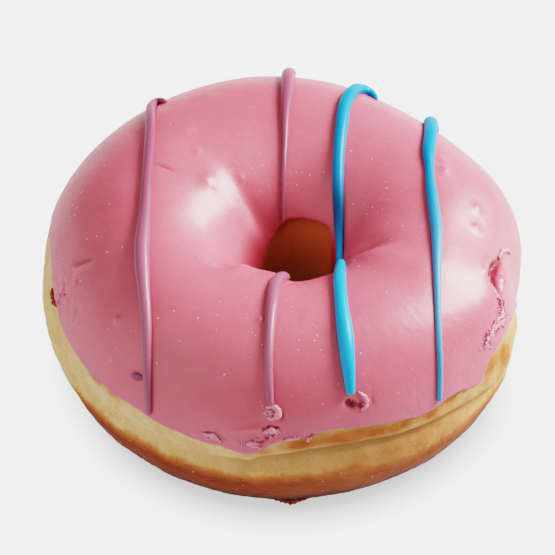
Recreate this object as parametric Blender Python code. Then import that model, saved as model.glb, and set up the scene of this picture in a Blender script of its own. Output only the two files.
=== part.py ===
"""Frosted ring doughnut with piped icing stripes, as two solids: the fried dough ring and its frosting.

The doughnut lies flat with its front towards -Y and +Z up. Its origin is under the middle of its
bounding box, on the surface that it rests on. A point of the ring is named by two angles in
degrees: its bearing round the ring, 0 at +X and anticlockwise from above, and its roll round the
ring's section, 0 facing outwards, 90 on top, 180 in the hole and 270 underneath.
"""

import bmesh
import bpy
import numpy as np
from mathutils import Vector
from mathutils.bvhtree import BVHTree

MM = 0.001

# The dough ring, in millimetres. Each list is read at even steps of bearing, starting at 0.
HOLE_CENTRE = (1.65, -4.80)
OUTER_RADII = (39.8, 43.4, 43.0, 43.9, 46.9, 48.8, 49.1, 48.5, 47.4,
               44.6, 42.4, 41.6, 40.3, 39.2, 38.6, 38.8, 39.5, 40.9)
HOLE_RADII = (8.6, 8.6, 7.8, 7.7, 7.6, 7.9, 8.1, 8.6, 5.6, 6.4, 6.6, 7.7)
CROWN_HEIGHTS = (38.9, 38.4, 38.1, 37.9, 37.4, 38.6, 39.0, 38.9)
WAIST_HEIGHT = 18.5
# How far the round underside would reach below the table: this makes the flat it rests on.
FLATTENED = 1.2
CROWN_SQUARENESS = 2.2
BASE_SQUARENESS = 2.5

# The seam where the two fried halves meet, round the outside: its roll and its depth.
SEAM_ROLLS = (-6, -10, -9, -6, -3, 0, 1, 1, 1, 2, 4, 5, 5, 4, 4, 5, 4.4, 3.6, 9, 10.8, 7.3, 4, -1.8, -5)
SEAM_DEPTHS = (0.8, 0.6, 0.6, 0.6, 0.6, 0.5, 0.3, 0.3, 0.9, 1.3, 1.2, 1.0)
SEAM_HALF_WIDTH = 2
# The least roll that the seam keeps below the frosting.
SEAM_CLEARANCE = 5.5

# The bare dough stands out round the side as a lobe. It rises under the frosting's edge, within so
# many degrees of roll above it, and dies away between two rolls further down.
LOBE_RISE = 1.4
LOBE_START = 17
LOBE_FADE = (-10, -44)

# Lumps and hollows of the risen dough: bearing, roll, their half spans in degrees, and height in mm.
SWELLS = (
    (178, 88, 35, 18, 1.3),
    (160, 112, 24, 40, 0.9),
    (165, 136, 40, 16, -0.9),
    (129, 131, 8, 20, -0.6),
    (208, 134, 7, 12, -1.6),
    (347, 133, 6, 22, -1.5),
    (336, 112, 11, 24, 0.8),
    (247, 135, 14, 18, 0.8),
    (225, 126, 9, 14, 1.3),
    (183, 38, 26, 26, -1.0),
    (186, -4, 26, 14, 0.6),
    (227, -22, 8, 14, -0.4),
    (335, -18, 12, 12, -0.8),
    (352, 3, 4, 7, 0.7),
    (352, 66, 30, 16, -0.5),
    (352, 42, 30, 14, 0.6),
)

# The frosting. Its two edges are rolls on the dough, read like the lists above.
FROSTING_THICKNESS = 1.45
FROSTING_GAP = 0.4
FROSTING_THINNEST = 0.9
FROSTING_LIP = 0.3
# The share of the coat's width over which each edge rounds off.
FROSTING_ROUNDING = 0.04
FROSTING_OUTER_ROLLS = (0, -4, -3, 1, 4, 6, 7, 8, 8, 10, 15, 19.5,
                        20, 13.4, 13.6, 15.2, 12.5, 13.2, 18.8, 21.6, 17, 15.2, 19, 18.4)
FROSTING_HOLE_ROLLS = (172, 170, 160, 147, 146, 146, 147, 150.5, 156.5, 163, 167, 170,
                       170, 168, 165, 162, 160, 158, 157, 157, 158, 160, 165, 170)

# Where the frosting runs further down: bearing, half span in degrees, and drop in degrees of roll.
FROSTING_RUNS = ((258, 5, 6), (326, 3.5, 9))

# The piped stripes, seen from above: x and y from the middle of the hole and the width, in mm, at
# each station, from the back to the front.
LEFT_MAUVE = (
    (-25.2, 37.4, 1.6), (-26.2, 36.2, 1.9), (-26.6, 33.4, 1.9), (-26.6, 30.0, 1.9), (-26.5, 22.4, 2.0),
    (-26.8, 11.9, 2.0), (-27.0, 2.0, 2.3), (-27.3, -7.0, 2.9), (-26.7, -15.5, 2.4), (-26.1, -21.8, 2.0),
    (-26.0, -26.5, 1.8), (-25.9, -30.3, 1.4), (-25.8, -33.2, 0.8),
)
BACK_MAUVE = (
    (-0.3, 45.0, 2.0), (-0.7, 42.5, 2.7), (-1.0, 36.5, 2.4), (-1.3, 28.9, 1.9), (-1.5, 22.0, 1.3),
    (-1.7, 17.0, 1.1), (-1.8, 13.0, 0.9), (-1.9, 10.8, 0.6),
)
FRONT_MAUVE = (
    (-1.5, -9.5, 1.6), (-2.3, -11.6, 2.2), (-3.2, -14.7, 2.3), (-3.8, -20.5, 2.2), (-4.2, -26.0, 1.8),
    (-4.4, -31.4, 1.6), (-4.3, -35.0, 1.5), (-4.1, -36.8, 1.3),
)
HOLE_BLUE = (
    (15.4, 38.0, 1.6), (14.2, 39.0, 2.2), (12.6, 38.4, 2.4), (11.4, 35.8, 2.5),
    (9.9, 31.0, 2.5), (9.2, 25.3, 2.4), (8.7, 19.3, 2.2), (8.5, 13.4, 2.1), (8.6, 9.3, 2.0),
    (8.8, 5.7, 1.8), (9.0, 2.8, 1.6), (9.0, -1.5, 1.6), (8.9, -5.5, 1.8), (8.6, -10.0, 2.1),
    (8.4, -14.9, 2.3), (8.6, -21.5, 2.4), (9.1, -26.5, 2.9), (9.5, -30.9, 2.6), (9.9, -34.1, 2.0),
    (10.1, -36.4, 1.6),
)
RIGHT_BLUE = (
    (26.5, 34.2, 2.4), (25.8, 31.5, 2.9), (25.7, 26.0, 2.6), (25.1, 18.0, 2.4), (25.2, 13.5, 1.7),
    (25.2, 10.7, 1.75), (25.6, 4.2, 2.1), (26.0, -2.1, 2.2), (25.9, -8.1, 1.8), (25.8, -13.7, 1.45),
    (25.8, -19.6, 1.2), (25.9, -24.4, 1.1), (26.1, -27.5, 1.1), (26.1, -30.3, 1.0),
)
STRIPES = (LEFT_MAUVE, BACK_MAUVE, FRONT_MAUVE, HOLE_BLUE, RIGHT_BLUE)
STRIPE_SIDES = 8
STRIPE_STEP = 2.4
# Height of a stripe and of its middle line over the frosting, as shares of its width.
STRIPE_HEIGHT_SHARE = 0.9
STRIPE_LIFT_SHARE = 0.25
# The steepest dip of a strand that spans a hollow.
STRIPE_DIP = 1.2
DRAPE_STEP = 0.25
ABOVE_ALL = 100

# Drops and chips of icing: bearing, roll, and length, width and height in mm.
BLOBS = (
    (225.8, 33.5, 3.0, 1.8, 1.2),
    (263.9, 34.0, 2.6, 2.2, 1.6),
    (289.0, 34.0, 2.8, 1.8, 1.9),
)

RING_STEPS = 80
# Both solids take the same steps where they face each other, so that their facets never meet.
FACING_STEPS = 13
BARE_STEPS = 10
FROSTING_TOP_STEPS = 16
# Steps across the seam, in degrees of roll from its deepest line.
SEAM_STEPS = (-6, -3, -1.2, 0, 1.2, 3)
SEAM_REACH = 10


def read_round(values, bearing):
    """A smooth closed curve through values at even steps of bearing."""
    values = np.asarray(values, float)
    place = (np.asarray(bearing, float) % 360) / 360 * len(values)
    first = np.floor(place).astype(int)
    part = place - first
    a, b, c, d = (values[(first + k) % len(values)] for k in (-1, 0, 1, 2))
    return b + 0.5 * part * (c - a + part * (2 * a - 5 * b + 4 * c - d + part * (3 * (b - c) + d - a)))


def angle_between(a, b):
    """The signed difference of two angles, from -180 to 180 degrees."""
    return (a - b + 180) % 360 - 180


def plain_ring(bearing, roll):
    """Points of the ring before its lumps: two squared half ovals round the waist."""
    outer, hole = read_round(OUTER_RADII, bearing), read_round(HOLE_RADII, bearing)
    crown = read_round(CROWN_HEIGHTS, bearing)
    across, up = np.cos(np.radians(roll)), np.sin(np.radians(roll))
    power = 2 / np.where(up >= 0, CROWN_SQUARENESS, BASE_SQUARENESS)
    across = np.sign(across) * np.abs(across) ** power
    up = np.sign(up) * np.abs(up) ** power
    radius = (outer + hole) / 2 + (outer - hole) / 2 * across
    height = WAIST_HEIGHT + up * np.where(up >= 0, crown - WAIST_HEIGHT, WAIST_HEIGHT + FLATTENED)
    x = HOLE_CENTRE[0] + radius * np.cos(np.radians(bearing))
    y = HOLE_CENTRE[1] + radius * np.sin(np.radians(bearing))
    return np.stack([x, y, height], axis=-1)


def outward(bearing, roll, step=0.5):
    """Unit normals of the plain ring."""
    along = plain_ring(bearing + step, roll) - plain_ring(bearing - step, roll)
    round_section = plain_ring(bearing, roll + step) - plain_ring(bearing, roll - step)
    normal = np.cross(along, round_section)
    return normal / np.linalg.norm(normal, axis=-1, keepdims=True)


def swelling(bearing, roll):
    """How far the lumps and hollows move the surface out."""
    height = np.zeros(np.broadcast(bearing, roll).shape)
    for middle, middle_roll, span, roll_span, rise in SWELLS:
        off = (angle_between(bearing, middle) / span) ** 2 + (angle_between(roll, middle_roll) / roll_span) ** 2
        height += rise * np.exp(-off)
    return height


def frosting_edge(bearing):
    """Roll of the frosting's outer edge."""
    roll = read_round(FROSTING_OUTER_ROLLS, bearing)
    for middle, span, drop in FROSTING_RUNS:
        roll = roll - drop * np.exp(-((angle_between(bearing, middle) / span) ** 2))
    return roll


def ease(share):
    """A smooth step from 0 to 1."""
    share = np.clip(share, 0, 1)
    return share * share * (3 - 2 * share)


def lobe(bearing, roll):
    """How far the bare dough stands out below the frosting's edge."""
    below_edge = ease(1 - angle_between(roll, frosting_edge(bearing)) / LOBE_START)
    start, end = LOBE_FADE
    return LOBE_RISE * below_edge * ease((angle_between(roll, 0) - end) / (start - end))


def dough_surface(bearing, roll, out=0.0):
    """Points of the risen dough, without its seam, moved out by so many millimetres."""
    bearing, roll, out = np.broadcast_arrays(*(np.asarray(v, float) for v in (bearing, roll, out)))
    move = swelling(bearing, roll) + lobe(bearing, roll) + out
    return plain_ring(bearing, roll) + outward(bearing, roll) * move[..., None]


def seam_roll(bearing):
    """Roll of the seam's deepest line, always below the frosting."""
    return np.minimum(read_round(SEAM_ROLLS, bearing), frosting_edge(bearing) - SEAM_CLEARANCE)


def seam_depth(bearing, roll):
    """Depth of the seam's groove at a point of the side."""
    off = angle_between(roll, seam_roll(bearing))
    return read_round(SEAM_DEPTHS, bearing) * np.exp(-((off / SEAM_HALF_WIDTH) ** 2))


def add_object(name, points, faces, material):
    """A named mesh object from points in millimetres."""
    mesh = bpy.data.meshes.new(name)
    mesh.from_pydata([Vector(p) * MM for p in points], [], faces)
    mesh.update()
    mesh.shade_smooth()
    mesh.materials.append(material)
    made = bpy.data.objects.new(name, mesh)
    bpy.context.scene.collection.objects.link(made)
    return made


def quads(rings, ring_size, closed_rings):
    """Faces between rings of points, laid one ring after another."""
    faces = []
    for i in range(rings if closed_rings else rings - 1):
        for j in range(ring_size):
            k, m = (i + 1) % rings, (j + 1) % ring_size
            faces.append((i * ring_size + j, k * ring_size + j, k * ring_size + m, i * ring_size + m))
    return faces


def bearings():
    return np.arange(RING_STEPS) * 360 / RING_STEPS


def make_dough(material):
    """The fried ring, with its seam, its flat underside and its hole."""
    bearing = bearings()[:, None]
    low, high, seam = frosting_edge(bearing), read_round(FROSTING_HOLE_ROLLS, bearing), 360 + seam_roll(bearing)
    facing = low + (high - low) * np.linspace(0, 1, FACING_STEPS + 1)
    bare = high + (seam - SEAM_REACH - high) * np.linspace(0, 1, BARE_STEPS + 1)[1:]
    roll = np.concatenate([facing, bare, seam + np.array(SEAM_STEPS)], axis=1)
    bearing = np.broadcast_to(bearing, roll.shape)
    points = dough_surface(bearing, roll, -seam_depth(bearing, roll))
    points[..., 2] = np.maximum(points[..., 2], 0)
    return add_object("dough", points.reshape(-1, 3), quads(*roll.shape, True), material)


def frosting_thickness(bearing, roll, share):
    """The coat is full over most of its width, thins where the lobe rises, and rounds off at both edges."""
    full = np.maximum(FROSTING_THICKNESS - lobe(bearing, roll), FROSTING_THINNEST)
    edge = np.clip(np.minimum(share, 1 - share) / FROSTING_ROUNDING, 0, 1)
    return FROSTING_LIP + (full - FROSTING_LIP) * np.sqrt(1 - (1 - edge) ** 2)


def make_frosting(material):
    """The coat over the ring's top half: its upper face, then back along its underside."""
    even = np.linspace(0, 1, FROSTING_TOP_STEPS + 1)
    # The steps crowd towards both edges, where the coat rounds off.
    top = 0.4 * even + 0.6 * (0.5 - 0.5 * np.cos(np.pi * even))
    under = np.linspace(1, 0, FACING_STEPS + 1)
    share = np.concatenate([top, under])
    is_top = np.arange(len(share)) < len(top)
    bearing = bearings()[:, None]
    low, high = frosting_edge(bearing), read_round(FROSTING_HOLE_ROLLS, bearing)
    roll = low + (high - low) * share
    out = FROSTING_GAP + np.where(is_top, frosting_thickness(bearing, roll, share), 0)
    points = dough_surface(bearing, roll, out)
    return add_object("frosting", points.reshape(-1, 3), quads(*roll.shape, True), material)


def smooth_route(stations):
    """The stations joined by a smooth curve, with a point about every DRAPE_STEP."""
    stations = np.asarray(stations, float)
    ends = np.vstack([2 * stations[0] - stations[1], stations, 2 * stations[-1] - stations[-2]])
    route = []
    for a, b, c, d in zip(ends, ends[1:], ends[2:], ends[3:]):
        count = max(2, round(np.linalg.norm((c - b)[:2]) / DRAPE_STEP))
        for part in np.arange(count) / count:
            bend = 2 * a - 5 * b + 4 * c - d + part * (3 * (b - c) + d - a)
            route.append(b + 0.5 * part * (c - a + part * bend))
    route.append(stations[-1])
    return np.array(route)


def span_hollows(along, height):
    """Lifts a strand out of hollows steeper than it would dip, leaving its two ends where they are."""
    behind = np.maximum.accumulate(height + STRIPE_DIP * along) - STRIPE_DIP * along
    ahead = np.maximum.accumulate((height - STRIPE_DIP * along)[::-1])[::-1] + STRIPE_DIP * along
    return np.maximum(height, np.minimum(behind, ahead))


def drape(stations, tree):
    """Lays a route on the frosting: the middle line, the surface's normals and the widths."""
    hits, normals, widths = [], [], []
    for x, y, width in smooth_route(stations):
        above = Vector((HOLE_CENTRE[0] + x, HOLE_CENTRE[1] + y, ABOVE_ALL))
        hit, normal, _, _ = tree.ray_cast(above, Vector((0, 0, -1)))
        if hit is not None:
            hits.append(hit)
            normals.append(normal)
            widths.append(width)
    hits, normals, widths = np.array(hits), np.array(normals), np.array(widths)
    along = np.concatenate([[0], np.cumsum(np.linalg.norm(np.diff(hits[:, :2], axis=0), axis=1))])
    hits[:, 2] = span_hollows(along, hits[:, 2])
    length = np.concatenate([[0], np.cumsum(np.linalg.norm(np.diff(hits, axis=0), axis=1))])
    even = np.linspace(0, length[-1], round(length[-1] / STRIPE_STEP) + 1)
    middle = np.stack([np.interp(even, length, hits[:, k]) for k in range(3)], axis=1)
    normal = np.stack([np.interp(even, length, normals[:, k]) for k in range(3)], axis=1)
    width = np.interp(even, length, widths)
    normal /= np.linalg.norm(normal, axis=1, keepdims=True)
    return middle + normal * (STRIPE_LIFT_SHARE * width)[:, None], normal, width


def make_stripe(name, stations, tree, material):
    """One strand of icing: an oval tube along its draped route, with blunt tapered ends."""
    middle, normal, width = drape(stations, tree)
    ahead = np.gradient(middle, axis=0)
    ahead /= np.linalg.norm(ahead, axis=1, keepdims=True)
    # A last small ring beyond each end rounds it off.
    middle = np.vstack([middle[0] - ahead[0] * width[0] * 0.4, middle, middle[-1] + ahead[-1] * width[-1] * 0.4])
    normal, ahead = (np.vstack([v[:1], v, v[-1:]]) for v in (normal, ahead))
    width = np.concatenate([[width[0] * 0.5], width, [width[-1] * 0.5]])
    side = np.cross(ahead, normal)
    side /= np.linalg.norm(side, axis=1, keepdims=True)
    rise = np.cross(side, ahead)
    turn = np.radians(np.arange(STRIPE_SIDES) * 360 / STRIPE_SIDES)
    oval = np.cos(turn)[None, :, None] * side[:, None]
    oval = oval + STRIPE_HEIGHT_SHARE * np.sin(turn)[None, :, None] * rise[:, None]
    points = (middle[:, None] + oval * width[:, None, None] / 2).reshape(-1, 3)
    faces = quads(len(middle), STRIPE_SIDES, False)
    faces.append(tuple(range(STRIPE_SIDES)))
    faces.append(tuple(range(len(points) - 1, len(points) - 1 - STRIPE_SIDES, -1)))
    made = add_object(name, points, faces, material)
    face_outwards(made)
    return made


def face_outwards(made):
    shape = bmesh.new()
    shape.from_mesh(made.data)
    bmesh.ops.recalc_face_normals(shape, faces=shape.faces)
    shape.to_mesh(made.data)
    shape.free()


def make_blob(name, place, material):
    """A drop or chip of icing, half sunk in the coat."""
    bearing, roll, length, width, height = place
    out = FROSTING_GAP + FROSTING_THICKNESS
    middle = Vector(dough_surface(bearing, roll, out))
    normal = Vector(outward(np.float64(bearing), np.float64(roll)))
    shape = bmesh.new()
    bmesh.ops.create_icosphere(shape, subdivisions=2, radius=0.5)
    bmesh.ops.scale(shape, vec=(length, width, height), verts=shape.verts)
    bmesh.ops.rotate(shape, matrix=normal.to_track_quat("Z", "X").to_matrix(), verts=shape.verts)
    points = [v.co + middle for v in shape.verts]
    faces = [[v.index for v in face.verts] for face in shape.faces]
    shape.free()
    return add_object(name, points, faces, material)


def fuse(base, pieces):
    """Joins the pieces to the base with one union, and removes them."""
    group = bpy.data.collections.new("to_fuse")
    bpy.context.scene.collection.children.link(group)
    for piece in pieces:
        bpy.context.scene.collection.objects.unlink(piece)
        group.objects.link(piece)
    union = base.modifiers.new("fuse", "BOOLEAN")
    union.operation = "UNION"
    union.operand_type = "COLLECTION"
    union.collection = group
    union.solver = "EXACT"
    bpy.context.view_layer.update()
    fused = bpy.data.meshes.new_from_object(base.evaluated_get(bpy.context.evaluated_depsgraph_get()))
    base.modifiers.clear()
    base.data = fused
    for piece in pieces:
        bpy.data.objects.remove(piece)
    bpy.data.collections.remove(group)


def make_material(name, colour, roughness):
    made = bpy.data.materials.new(name)
    made.use_nodes = True
    shader = made.node_tree.nodes["Principled BSDF"]
    shader.inputs["Base Color"].default_value = (*colour, 1)
    shader.inputs["Roughness"].default_value = roughness
    shader.inputs["Metallic"].default_value = 0
    return made


def clear_scene():
    for old in list(bpy.data.objects):
        bpy.data.objects.remove(old)


def main():
    clear_scene()
    crust = make_material("fried_crust", (0.55, 0.25, 0.08), 0.6)
    pink = make_material("pink_frosting", (0.68, 0.24, 0.30), 0.35)
    make_dough(crust)
    frosting = make_frosting(pink)
    points = [v.co / MM for v in frosting.data.vertices]
    tree = BVHTree.FromPolygons(points, [tuple(face.vertices) for face in frosting.data.polygons])
    toppings = [make_stripe(f"stripe_{i}", stations, tree, pink) for i, stations in enumerate(STRIPES)]
    toppings += [make_blob(f"blob_{i}", place, pink) for i, place in enumerate(BLOBS)]
    fuse(frosting, toppings)


main()
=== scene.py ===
"""Looks of the frosted ring doughnut: fried dough, pink icing coat, piped stripes, flakes and specks.

Every shape is worked out in millimetres, in the same frame as the solids: the doughnut lies flat with
its front towards -Y and +Z up. A point of the ring is named by two angles in degrees: its bearing
round the ring, 0 at +X and anticlockwise from above, and its roll round the ring's section, 0 facing
outwards, 90 on top, 180 in the hole and 270 underneath.
"""

import math

import bmesh
import bpy
import numpy as np
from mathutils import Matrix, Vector, noise
from mathutils.bvhtree import BVHTree


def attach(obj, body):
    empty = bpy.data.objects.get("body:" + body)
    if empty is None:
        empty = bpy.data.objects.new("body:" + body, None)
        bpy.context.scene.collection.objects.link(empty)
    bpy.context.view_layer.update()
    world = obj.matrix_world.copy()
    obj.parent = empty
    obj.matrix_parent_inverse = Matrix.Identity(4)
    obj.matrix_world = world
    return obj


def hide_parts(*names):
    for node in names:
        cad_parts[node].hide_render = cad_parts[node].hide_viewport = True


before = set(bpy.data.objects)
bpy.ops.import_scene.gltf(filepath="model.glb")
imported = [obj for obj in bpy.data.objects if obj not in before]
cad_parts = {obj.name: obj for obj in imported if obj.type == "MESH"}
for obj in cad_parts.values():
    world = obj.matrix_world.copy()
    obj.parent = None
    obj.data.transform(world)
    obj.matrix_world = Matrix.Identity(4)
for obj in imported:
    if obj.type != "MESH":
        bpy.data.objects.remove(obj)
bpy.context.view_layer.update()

MM = 0.001
SEED = 11

# The dough ring. Each list is read at even steps of bearing, starting at 0.
HOLE_CENTRE = (1.65, -4.80)
OUTER_RADII = (39.8, 43.4, 43.0, 43.9, 46.9, 48.8, 49.1, 48.5, 47.4,
               44.6, 42.4, 41.6, 40.3, 39.2, 38.6, 38.8, 39.5, 40.9)
HOLE_RADII = (8.6, 8.6, 7.8, 7.7, 7.6, 7.9, 8.1, 8.6, 5.6, 6.4, 6.6, 7.7)
CROWN_HEIGHTS = (38.9, 38.4, 38.1, 37.9, 37.4, 38.6, 39.0, 38.9)
WAIST_HEIGHT = 18.5
FLATTENED = 1.2
CROWN_SQUARENESS = 2.2
BASE_SQUARENESS = 2.5
# Millimetres of section per degree of roll, about.
ROLL_LENGTH = 0.36

# The bare dough stands out round the side as a lobe below the coat's edge.
LOBE_RISE = 1.4
LOBE_START = 17
LOBE_FADE = (-10, -44)

# Lumps and hollows of the risen dough: bearing, roll, their half spans in degrees, and height.
SWELLS = (
    (178, 88, 35, 18, 1.3),
    (160, 112, 24, 40, 0.9),
    (165, 136, 40, 16, -0.9),
    (129, 131, 8, 20, -0.6),
    (208, 134, 7, 12, -1.6),
    (347, 133, 6, 22, -1.5),
    (336, 112, 11, 24, 0.8),
    (247, 135, 14, 18, 0.8),
    (225, 126, 9, 14, 1.3),
    (183, 38, 26, 26, -1.0),
    (186, -4, 26, 14, 0.6),
    (227, -22, 8, 14, -0.4),
    (335, -18, 12, 12, -0.8),
    (352, 3, 4, 7, 0.7),
    (352, 66, 30, 16, -0.5),
    (352, 42, 30, 14, 0.6),
)

# The seam round the side: roll, depth, and how far it reaches above and below its deepest line.
SEAM_ROLLS = (-6, -10, -9, -6, -3, 0, 1, 1, 1, 2, 4, 5, 5, 4, 4, 5, 4.4, 3.6, 9, 10.8, 7.3, 4, -1.8, -5)
SEAM_DEPTHS = (0.8, 0.6, 0.6, 0.6, 0.6, 0.5, 0.3, 0.3, 0.3, 1.3, 1.2, 1.0)
SEAM_ABOVE = 0.45
SEAM_BELOW = 1.5
SEAM_CLEARANCE = 5.5

# Roll at which the pale band turns to brown crust, and the width of that change.
CRUST_ROLLS = (-12, -10, -8, -6, -5, -4, -4, -5, -6, -8, -12, -18,
               -22, -13, -3, -0.8, -0.8, -2.2, -0.6, 0, -4, -5.0, -5.5, -9)
CRUST_WIDTH = 17
CRUST_LEAD = 0.25
# Painted shade: the crust is darkest round the bottom edge, and the hole is darkest low down.
BASE_SHADE_ROLL = -14
BASE_SHADE_WIDTH = 16
HOLE_SHADE_TOP = 20
HOLE_SHADE_BEARING = 200
HOLE_SHADE_LEAN = 7
# The roll, from either side of straight out, past which the dough is the hole's, and that change's width.
HOLE_START = 95
HOLE_FADE = 20
# How far the crust's edge wanders with the broad and the fine lumps, in degrees.
CRUST_WANDER = (1.6, 0.6)
# The dough's broad and fine lumps: size across and height, in millimetres.
DOUGH_BROAD = (6, 0.2)
DOUGH_FINE = (1.3, 0.09)
# The dough's steps of roll: on its side, under the coat, in the hole and underneath.
DOUGH_STEPS = (90, 16, 38, 14)
DOUGH_SIDE_START = -50
DOUGH_BASE = (230, 310)
# How far the fine steps of the side and of the hole reach under the coat, in degrees of roll.
UNDER_OUTER_EDGE = 6
UNDER_HOLE_EDGE = 8

# Where the dough is toasted beside the coat, and, in the three broad patches low on the side, painted shade
# under the coat's overhang: bearing, roll, half spans and strength.
TOASTED_AND_SHADED = (
    (284, 17, 10, 5, 1.0),
    (271, 15, 5, 4, 0.8),
    (262, 11, 3, 3, 0.6),
    (297, 14, 7, 3, 0.7),
    (308.5, 13, 1.6, 2.4, 0.9),
    (316, 15.5, 4, 3, 1.0),
    (322, 17, 1.6, 3, 0.9),
    (330, 15, 4, 6, 1.0),
    (337, 9, 3, 8, 0.7),
    (284, -3, 24, 12, 0.42),
    (315, 2, 24, 18, 0.55),
    (350, 4, 16, 20, 0.5),
    (213, 13.5, 3, 2.0, 0.8),
    (220, 14, 3, 2.0, 0.7),
)
# How much the broad lumps change the toasting.
TOAST_UNEVEN = 0.2

# Painted shade on the pale band under the coat's overhang at the front: bearing, roll, half spans and
# strength.
SHADED_BAND = (
    (258, -4, 22, 10, 0.6),
    (290, -4, 22, 11, 0.7),
)

# The icing coat: its thickness, the least that is left where the lobe rises, and how far in its edges
# round off.
COAT_THICKNESS = 1.8
COAT_THINNEST = 0.5
COAT_ROUNDING = 0.9
# The coat's steps of roll on its upper face and its underside, how much the upper ones crowd towards
# its edges, and how far the underside is sunk in the dough.
COAT_TOP_STEPS = 146
COAT_UNDER_STEPS = 16
COAT_CROWDING = 0.55
COAT_SUNK = 0.15
# Unevenness: size of the lumps in millimetres, and how far they move the edge in degrees of roll.
COAT_EDGE_RAGGED = (2.2, 0.35)
COAT_EDGE_WANDER = (6, 0.5)
COAT_HOLE_WANDER = (9, 1.2)
# The coat's gentle waves: size across and height.
COAT_WAVES = (9, 0.12)
# The coat's edge has a tint, which fades over so many millimetres.
RIM_REACH = 1.6
# The coat is darkened in the hole as painted shade: the roll where that starts, and the width of the change.
INSIDE_START = 136
INSIDE_FADE = 24
# The roll of the coat's outer edge every 5 degrees of bearing, and of its edge in the hole every 15.
COAT_OUTER_ROLLS = (
    -1.8, -3, -3.8, -4, -4, -3.6, -3, -1.8, -0.4, 1, 2.2, 3.2, 4, 4.8, 5.4, 6, 6.4, 6.7,
    7, 7.4, 7.8, 8, 8, 7.9, 8, 8.4, 9.1, 10, 11.4, 13.2, 15, 16.6, 18, 19, 21.2, 21.6,
    19.9, 18, 16.2, 13.4, 13.2, 13.2, 13.4, 15.3, 14.9, 15.3, 14.6, 13.2, 12.5, 11.5, 11.7, 10, 10.4, 16.7,
    18.8, 20.4, 21.7, 21.6, 20.4, 19, 17, 14.7, 14.5, 15.7, 14.2, 11.7, 17.4, 19.5, 20.6, 18.4, 13.1, 5.4,
)
COAT_HOLE_ROLLS = (172, 170, 160, 147, 146, 146, 147, 150.5, 156.5, 163, 167, 170,
                   170, 168, 165, 162, 160, 158, 157, 157, 158, 160, 165, 170)
# Small tongues of the coat's edge: bearing, half span and drop in degrees.
COAT_RUNS = (
    (258, 2.5, 1.5),
    (326.6, 1.6, 2.5),
    (321, 1.2, 2),
    (273.8, 0.9, 2.5),
    (248.5, 1.6, 0.9),
    (214.5, 1.5, 1.5),
)

# Bumps on the coat: bearing, roll, radius and height.
BUMPS = (
    (133.75, 95.5, 0.55, 0.4), (142, 110, 1.9, 0.4), (142.5, 114.5, 0.5, 0.2), (124, 118, 0.6, 0.25),
    (130, 85, 0.5, 0.2), (211.5, 51.5, 0.7, 0.4), (31, 71.5, 0.8, 0.4), (26.25, 76, 0.9, 0.55),
    (10.25, 61.5, 0.9, 0.45), (2.5, 60, 0.8, 0.35), (346.25, 53, 0.5, 0.25), (256, 85.5, 0.6, 0.4),
    (189.75, 40, 0.4, 0.35), (263.75, 35, 1.1, 0.3), (285.9, 35.3, 0.9, -0.7),
)
# Creases and ridges on the coat: bearing and roll of both ends, half width and height.
CREASES = (
    (186.5, 41, 190, 58, 0.35, 0.3),
    (184.5, 44, 187.5, 58, 0.8, -0.3),
    (179.25, 48, 180.25, 65, 0.3, 0.12),
    (150.25, 86.5, 149, 95.5, 0.45, -0.35),
    (142, 112.3, 142.6, 113.0, 0.25, -0.5),
    # A flap of icing on the right, with the step beside it.
    (3, 29.5, 359.25, 40, 0.4, 0.3),
    (356, 40, 349.75, 47, 0.8, -0.8),
    (351, 46, 345.25, 47.5, 1.0, -1.1),
    (346, 47.5, 342.5, 41, 0.7, -0.8),
    (342, 40, 339.5, 31, 0.5, -0.6),
    (354.5, 35, 345, 41, 1.2, 0.7),
    (344.5, 40.5, 341, 34, 0.8, 0.4),
    (353, 50.5, 346.5, 53.5, 0.8, 0.25),
    # The hollow behind the front lip of the hole, and the lip.
    (219, 127, 203, 137, 0.7, -0.9),
    (223, 121, 242, 132, 0.6, 0.2),
    # Fine ridges at the front.
    (277.75, 34.8, 277.6, 30.2, 0.2, 0.3),
    (278.75, 35.3, 278.4, 30.2, 0.2, 0.25),
    (254, 22, 262, 26, 0.6, 0.25),
)
# How much a crease fades towards its ends.
CREASE_TAPER = 0.9
# Wrinkles are so many millimetres apart, and more than that up and down.
WRINKLE_SIZE = 1.1
WRINKLE_STRETCH = (1, 1, 0.6)
# Wrinkled patches of the coat: bearing, roll, half spans and height.
WRINKLED = (
    (190, 27, 9, 7, 0.24),
    (341.5, 35, 5, 5, 0.35),
    (347, 42, 6, 6, 0.25),
    (335, 30.5, 5, 3, 0.4),
    (262, 17, 8, 3.5, 0.3),
    (250, 17, 4, 3, 0.2),
    (271, 19, 5, 2.5, 0.25),
)

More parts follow.
